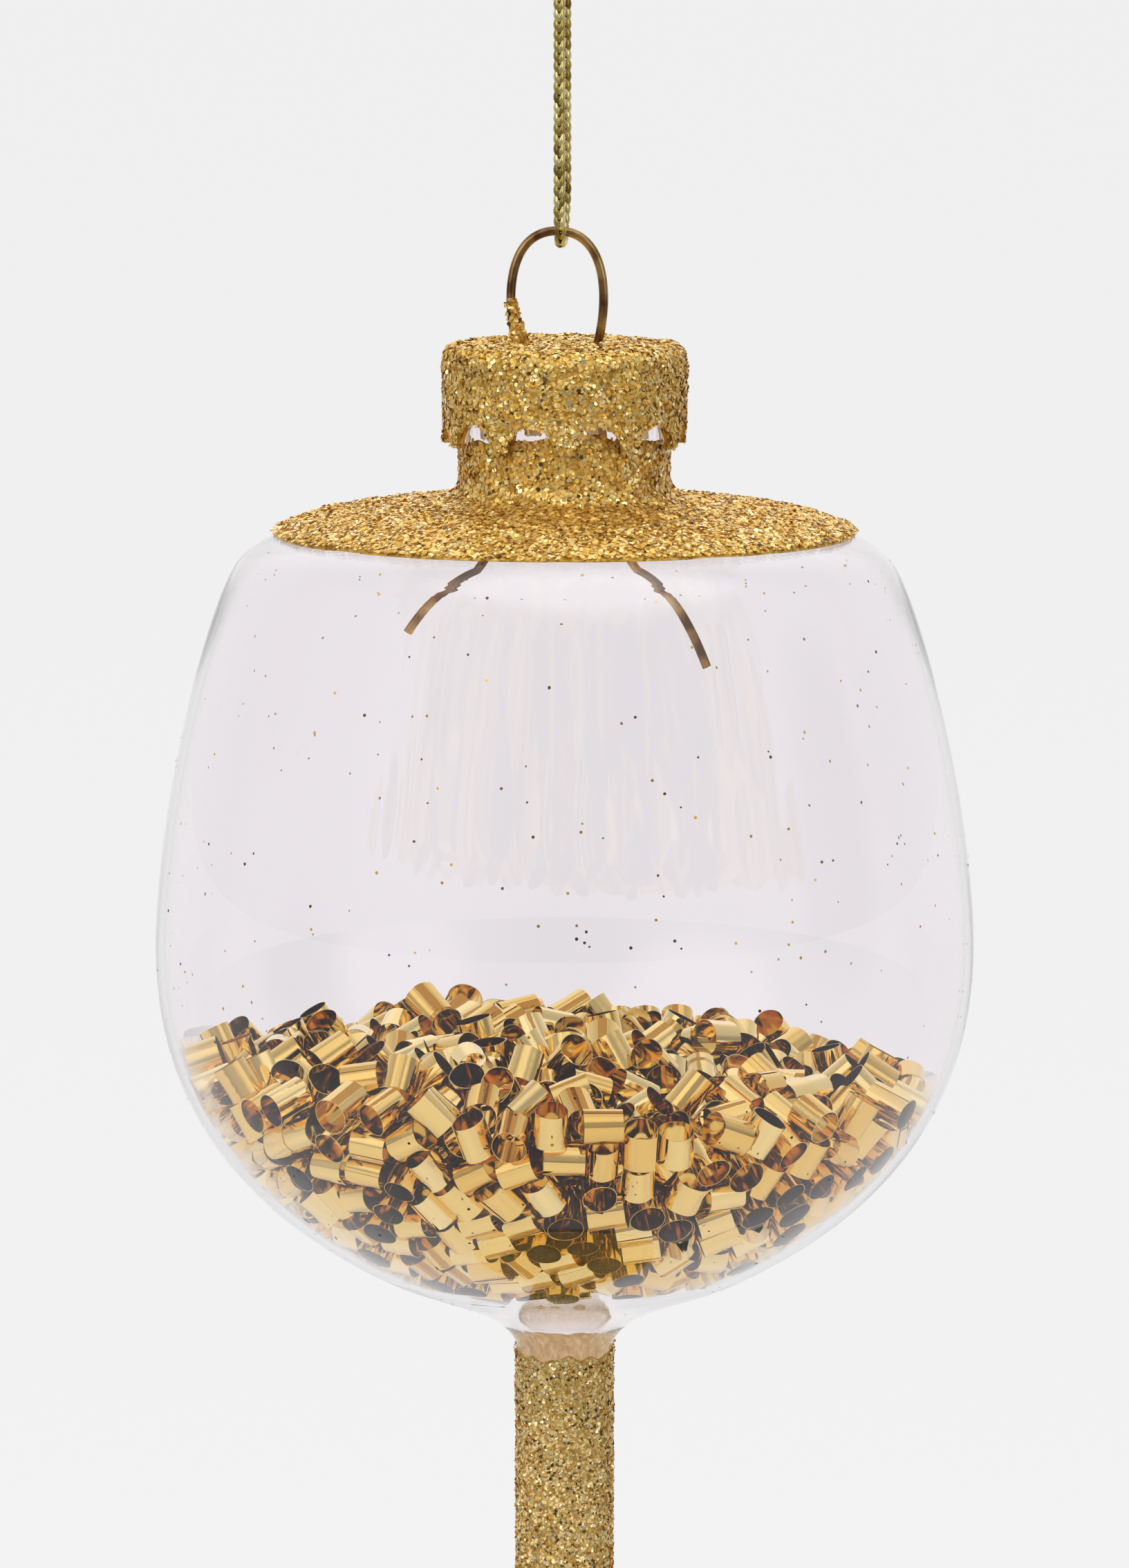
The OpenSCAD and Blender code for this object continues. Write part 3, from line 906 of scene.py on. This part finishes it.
def flakes(name, points, normals, size, tilt, lump, lift, materials, weights, rng):
    """Hexagonal glitter flakes lying on a surface, each tilted and tinted its own way."""
    count = len(points)
    relief, slope = lumps(points, lump)
    facing = unit(normals - slope + tilt * rng.normal(size=(count, 3)))
    u = unit(np.cross(facing, rng.normal(size=(count, 3))))
    v = np.cross(facing, u)
    radius = size / 2 * rng.uniform(0.65, 1.15, count)
    centre = points + normals * (relief + rng.uniform(lift[0], lift[1], count))[:, None]
    angle = (np.arange(6) * math.pi / 3)[None, :, None]
    ring = centre[:, None] + radius[:, None, None] * (
        np.cos(angle) * u[:, None] + np.sin(angle) * v[:, None])
    faces = np.arange(count * 6).reshape(-1, 6)
    kinds = rng.choice(len(materials), count, p=np.array(weights) / sum(weights))
    return make_mesh(name, ring.reshape(-1, 3), faces, materials, kinds)


def cap_line(extra):
    """The cap's outer outline, grown outwards by extra, from its top's middle to its skirt."""
    r, top, bend = CAP_R + extra, CAP_TOP_Z + extra, CAP_ROUND + extra
    angle = np.radians(np.linspace(90, 0, 12))
    rounded = np.stack([r - bend + bend * np.cos(angle), top - bend + bend * np.sin(angle)], 1)
    return np.vstack([[(0.01, top)], rounded, [(r, CAP_LOW_Z)]])


def in_arch(points, grow=0.0):
    """Which points lie in the arches between the cap's lobes, widened by grow."""
    arch_r = (ARCH_W ** 2 / 4 + ARCH_H ** 2) / (2 * ARCH_H)
    angle = np.arctan2(points[:, 1], points[:, 0]) + math.pi / 2
    pitch = 2 * math.pi / LOBES
    reach = np.hypot(points[:, 0], points[:, 1])
    across = ((angle / pitch) % 1 - 0.5) * pitch * reach
    up = points[:, 2] - (CAP_LOW_Z + ARCH_H - arch_r)
    return (reach > CAP_R - 0.6) & (np.hypot(across, up) < arch_r + grow)


def full_length(angle):
    """A coat edge right at its outline's end."""
    return np.zeros_like(angle)


def shoulder_rim(angle):
    """How much further than its outline the shoulder's glitter reaches."""
    return wave(angle, 0.1, 8)


def stem_edge(angle):
    """How far below its outline's top the stem's glitter starts: low in front, high behind."""
    return 1.15 - np.sin(angle) + wave(angle, 0.22, 9, (2, 3, 5, 9, 14))


def neck_edge(angle):
    """How far below the neck's top the glitter starts: high in front, low behind, and a
    little higher still at one narrow place in front."""
    middle = NECK_TOP_Z - COAT_START_Z + 0.7
    from_peak = np.angle(np.exp(1j * (angle + math.radians(77))))
    peak = 0.45 * np.exp(-(from_peak / 0.16) ** 2)
    return middle + 1.5 * np.sin(angle) - peak + wave(angle, 0.12, 7)


def coated(line, count, start, end, rng):
    """Random points on a coat with ragged edges, thinning out towards them."""
    points, normals, along, angle = scatter(line, count, rng)
    length = np.linalg.norm(np.diff(line, axis=0), axis=1).sum()
    fade = rng.exponential(0.12, count)
    keep = (along > start(angle) - 0.1 + fade) & (along < length + end(angle) + 0.15 - fade)
    return points[keep], normals[keep]


def add_coat(name, node, outline, start, end, count, grade, back, rng):
    """One coat on the glass: a lumpy bed, and flakes over it."""
    coat = coat_shell(name + "_coat", outline, start, end, [grade.bed, back], grade.lump,
                      grade.seed)
    dress(coat, "glass")
    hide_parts(node)
    raised = outline + COAT * line_normals(outline)
    points, normals = coated(raised, count, start, end, rng)
    loose = flakes(name + "_flakes", points, normals, grade.size, grade.tilt, grade.lump,
                   grade.lift, grade.kinds, grade.weights, rng)
    dress(loose, "glass")


def add_glitter():
    """The coats on the cap, the wire's foot and the glass, and the specks on the bowl."""
    rng = np.random.default_rng(11)
    kinds = [flake("flake_gold", (0.80, 0.50, 0.11), 0.36, 0.65),
             flake("flake_pale", (0.94, 0.71, 0.27), 0.30, 0.65),
             flake("flake_deep", (0.58, 0.33, 0.05), 0.38, 0.65),
             flake("flake_bright", (1.0, 0.88, 0.50), 0.16),
             # flake_dark is painted shade: near-black flakes that stand in for glitter in shade;
             # the loose specks use it too.
             flake("flake_dark", (0.10, 0.06, 0.02), 0.35, 0.5)]
    fine_kinds = [kinds[0], flake("flake_champagne", CHAMPAGNE, 0.3, 0.3), *kinds[2:]]
    speck_kinds = kinds[0::2]

    coarse = SimpleNamespace(
        slot="coarse_glitter", bed=glitter_bed("glitter_bed_coarse", 0.4, 0.0), lump=LUMP,
        seed=1, size=0.46, tilt=0.22, lift=(-0.02, 0.16), kinds=kinds, weights=COARSE_WEIGHTS)
    fine = SimpleNamespace(
        slot="fine_glitter", bed=glitter_bed("glitter_bed_fine", 0.3, 0.35), lump=FINE_LUMP,
        seed=2, size=0.38, tilt=0.34, lift=(-0.04, 0.06), kinds=fine_kinds, weights=FINE_WEIGHTS)
    for node, material in (("cap", cap_metal()), ("cap_glitter", coarse.bed)):
        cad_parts[node].data.materials.clear()
        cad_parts[node].data.materials.append(material)
    back = glue_back()

    points, normals, _, _ = scatter(cap_line(COAT), CAP_FLAKES, rng)
    keep = ~in_arch(points, -0.05)
    dress(flakes("cap_flakes", points[keep], normals[keep], 0.45, 0.26, LUMP, (0.0, 0.2), kinds,
                 COARSE_WEIGHTS, rng), "hanger")
    dress(foot_clump(kinds, COARSE_WEIGHTS, rng), "hanger")

    line = outer_line()
    rim = np.argmax(line[:, 0] > SHOULDER_COAT_R)
    shoulder = stretch(line, NECK_TOP_Z, line[rim, 1])
    stem_top = STEM_ROOT_Z + STEM_COAT_RISE + BACK_RISE
    stem = np.vstack([stretch(line, stem_top, STEM_ROOT_Z), [(STEM_R, STEM_END_Z)]])
    foot = stretch(foot_line(), STEM_END_Z - 0.01, FOOT_Z + FOOT_RIM)
    for name, node, outline, start, end, count, grade in (
            ("shoulder", "shoulder_glitter", shoulder, neck_edge, shoulder_rim, SHOULDER_FLAKES,
             coarse),
            ("stem", "stem_glitter", stem, stem_edge, full_length, STEM_FLAKES, fine),
            ("foot", "foot_glitter", foot, full_length, full_length, FOOT_FLAKES, fine)):
        add_coat(name, node, outline, start, end, count, grade, back, rng)

    bowl = stretch(line, line[rim, 1] - 0.6, STEM_ROOT_Z + 4)
    points, normals, _, _ = scatter(bowl, LOOSE_SPECKS, rng)
    dress(flakes("loose_specks", points, normals, 0.32, 0.1, 0, (0.02, 0.05), speck_kinds,
                 SPECK_WEIGHTS, rng), "glass")


def foot_clump(kinds, weights, rng):
    """Glitter caught on the inner side of the eye's left foot."""
    count = CLUMP_FLAKES
    up = rng.uniform(0, 1, count) ** 1.7 * CLUMP_H
    route = half_eye(-1)
    x, y = (np.interp(CAP_TOP_Z + up, route[:, 2], route[:, k]) for k in (0, 1))
    angle = rng.normal(0, 1.0, count)
    out = np.stack([np.cos(angle), -np.abs(np.sin(angle)), np.zeros(count)], 1)
    thick = WIRE_D / 2 + rng.uniform(0, 1, count) * (1 - up / 5.2)
    points = np.stack([x, y, CAP_TOP_Z + up], 1) + out * thick[:, None]
    return flakes("foot_clump_flakes", points, out, 0.45, 0.6, 0, (0.0, 0.05), kinds, weights, rng)


# ------------------------------ the foil rolls

ROLLS = 1230
THROAT_Z = FUNNEL_Z - 1.2  # the rolls jam above the throat here
GRAVITY = 300  # of the simulation, in millimetres per second squared
SHAKE_START = 16
SHAKE_END = 44
REST_FRAME = 54
LEAN_DEG = 1.9  # the ornament hangs this much out of plumb, so that the filling leans
SWING_SHARE = 0.5  # of gravity
SWING_STEP_DEG = 52
START_PITCH = 4.8
ROLL_SIDES = 10  # of a roll in the simulation
ROLL_GROUPS = (
    ("foil_pile_top", "foil_rolls_top"),
    ("foil_pile_upper", "foil_rolls_upper"),
    ("foil_pile_middle", "foil_rolls_middle"),
    ("foil_pile_bottom", "foil_rolls_bottom"))


def starting_places(inner, rng):
    """A loose stack of rolls, layer on layer, from the funnel up."""
    half = START_PITCH / 2
    places, z = [], THROAT_Z + 4
    while len(places) < ROLLS:
        reach = min(radius_of(inner, z - half), radius_of(inner, z + half)) - 3
        for row in range(-9, 10):
            for column in range(-10, 11):
                x = (column + 0.5 * (row % 2)) * START_PITCH
                y = row * START_PITCH * 0.88
                if math.hypot(x, y) < reach:
                    places.append((x, y, z))
        z += START_PITCH
    return np.array(places[:ROLLS]), unit(rng.normal(size=(ROLLS, 4)))


def radius_of(line, z):
    return float(np.interp(z, line[::-1, 1], line[::-1, 0]))


def settling_line():
    """The bowl's inner outline, closed at the throat by an uneven plug."""
    inner = stretch(inner_line(), BELLY_Z + 34, THROAT_Z)
    plug_r = np.linspace(inner[-1, 0], 0.05, 8)[1:]
    uneven = THROAT_Z + 1.1 * (np.arange(len(plug_r)) % 2 == 0)
    return np.vstack([inner, np.stack([plug_r, uneven], 1)])


def settling_rolls(places, turns):
    """Plain cylinders in their starting places, all with one mesh."""
    ring = [(ROLL_D / 2 * math.cos(a) / MM, ROLL_D / 2 * math.sin(a) / MM)
            for a in round_angles(ROLL_SIDES)]
    points = [(x, y, z / MM) for z in (-ROLL_LEN / 2, ROLL_LEN / 2) for x, y in ring]
    low = range(ROLL_SIDES)
    faces = [tuple(reversed(low)), tuple(range(ROLL_SIDES, 2 * ROLL_SIDES))]
    for k in low:
        after = (k + 1) % ROLL_SIDES
        faces.append((k, after, ROLL_SIDES + after, ROLL_SIDES + k))
    first = make_mesh("settling_roll", points, faces)
    rolls = [first] + [bpy.data.objects.new("settling_roll", first.data) for _ in places[1:]]
    for roll, place, turned in zip(rolls, places, turns):
        if roll is not first:
            bpy.context.scene.collection.objects.link(roll)
        roll.rotation_mode = "QUATERNION"
        roll.location = place
        roll.rotation_quaternion = turned
    return rolls


def settled_rolls():
    """Where the rolls come to rest when they drop into the bowl: one matrix each, in mm."""
    inner = settling_line()
    places, turns = starting_places(inner, np.random.default_rng(5))
    scene = bpy.context.scene
    steps = 72
    bowl = make_mesh("settling_bowl", turn(inner, steps) / MM, grid_faces(len(inner), steps))
    rolls = settling_rolls(places, turns)
    drop(scene, bowl, rolls)
    bpy.context.view_layer.update()
    graph = bpy.context.evaluated_depsgraph_get()
    result = np.array([np.array(roll.evaluated_get(graph).matrix_world) for roll in rolls])
    if scene.rigidbody_world:
        bpy.ops.rigidbody.world_remove()
    for item in [bowl, *rolls]:
        bpy.data.objects.remove(item)
    scene.frame_set(1)
    return result


def drop(scene, bowl, rolls):
    """Lets the rolls fall; one unit of the simulation is a millimetre."""
    bpy.ops.rigidbody.world_add()
    world = scene.rigidbody_world
    world.substeps_per_frame = 8
    world.point_cache.frame_end = REST_FRAME
    for pieces, kind in (([bowl], "PASSIVE"), (rolls, "ACTIVE")):
        bpy.ops.object.select_all(action="DESELECT")
        for piece in pieces:
            piece.select_set(True)
        bpy.context.view_layer.objects.active = pieces[0]
        bpy.ops.rigidbody.objects_add(type=kind)
    bowl.rigid_body.collision_shape = "MESH"
    bowl.rigid_body.friction = 0.3
    for piece in [bowl, *rolls]:
        piece.rigid_body.use_margin = True
        piece.rigid_body.collision_margin = 0.03
    for roll in rolls:
        roll.rigid_body.collision_shape = "CYLINDER"
        roll.rigid_body.friction = 0.25
        roll.rigid_body.restitution = 0
        roll.rigid_body.linear_damping = 0.1
        roll.rigid_body.angular_damping = 0.2
    for step in range(1, REST_FRAME + 1):
        scene.gravity = swung_gravity(step)
        scene.frame_set(step)


def swung_gravity(step):
    """Straight down while the rolls fall, then swung round less and less to level them."""
    left = min(1, max(0, (SHAKE_END - step) / (SHAKE_END - SHAKE_START)))
    swing = 0 if step < SHAKE_START else SWING_SHARE * GRAVITY * left
    angle = math.radians(SWING_STEP_DEG) * step
    lean = GRAVITY * math.tan(math.radians(LEAN_DEG))
    return (swing * math.cos(angle) - lean, swing * math.sin(angle), -GRAVITY)


def roll_shape(rng):
    """One rolled strip of film, somewhat out of round. One in five has a lifted end. Its
    faces' kinds are 1 on the inner side and 0 on the outer side and the edges."""
    steps = 30
    lap = math.radians(rng.uniform(15, 80))
    angle = np.linspace(0, 2 * math.pi + lap, steps)
    creased = sum(size * np.cos(k * angle + rng.uniform(0, 2 * math.pi))
                  for k, size in ((2, rng.uniform(0, 0.07)), (3, 0.025), (5, 0.010)))
    lifted = rng.choice((0, 0.3), p=(0.8, 0.2)) * np.clip((angle - angle[-1]) / 0.9 + 1, 0, 1) ** 2
    radius = (ROLL_D / 2 - 0.10 + 0.10 * angle / angle[-1]) * (1 + creased) + lifted
    radius = radius * rng.uniform(0.9, 1.04)
    taper = rng.uniform(-0.05, 0.05)
    half = ROLL_LEN / 2 * rng.uniform(0.9, 1.06)
    rings = []
    for inset, end in ((0, 1), (0, -1), (FILM, -1), (FILM, 1)):
        r = radius * (1 + end * taper) - inset
        z = np.full(steps, end * half)
        rings.append(np.stack([r * np.cos(angle), r * np.sin(angle), z], 1))
    points = np.stack(rings, 1).reshape(-1, 3)
    step = np.arange(steps - 1)[:, None] * 4
    k = np.arange(4)[None, :]
    quads = np.stack([step + k, step + (k + 1) % 4, step + 4 + (k + 1) % 4, step + 4 + k], -1)
    kinds = np.broadcast_to(np.array([0, 0, 1, 0])[None, :], quads.shape[:2]).ravel()
    ends = np.array([[3, 2, 1, 0], (steps - 1) * 4 + np.arange(4)])
    return points, np.vstack([quads.reshape(-1, 4), ends]), np.concatenate([kinds, [0, 0]])


def add_foil():
    rng = np.random.default_rng(3)
    places = settled_rolls()
    films = [foil_outside(), foil_inside()]
    order = np.argsort(-places[:, 2, 3], kind="stable")
    for (name, node), group in zip(ROLL_GROUPS, np.array_split(order, len(ROLL_GROUPS))):
        points, faces, kinds, start = [], [], [], 0
        for i in group:
            p, f, k = roll_shape(rng)
            points.append(p @ places[i, :3, :3].T + places[i, :3, 3])
            faces.append(f + start)
            kinds.append(k)
            start += len(p)
        pile = make_mesh(name, np.concatenate(points), np.concatenate(faces), films,
                         np.concatenate(kinds), smooth=True, sharp_deg=40)
        dress(pile, "filling")
        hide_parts(node)


# ------------------------------ all together

add_camera()
add_cord(cord_thread())
add_world()
for lamp in LAMPS_M:
    add_light(*lamp)
add_floor()
bpy.context.scene.view_settings.view_transform = "Standard"
add_foil()
add_wire(bronze_wire())
add_glass(clear_glass())
add_glitter()
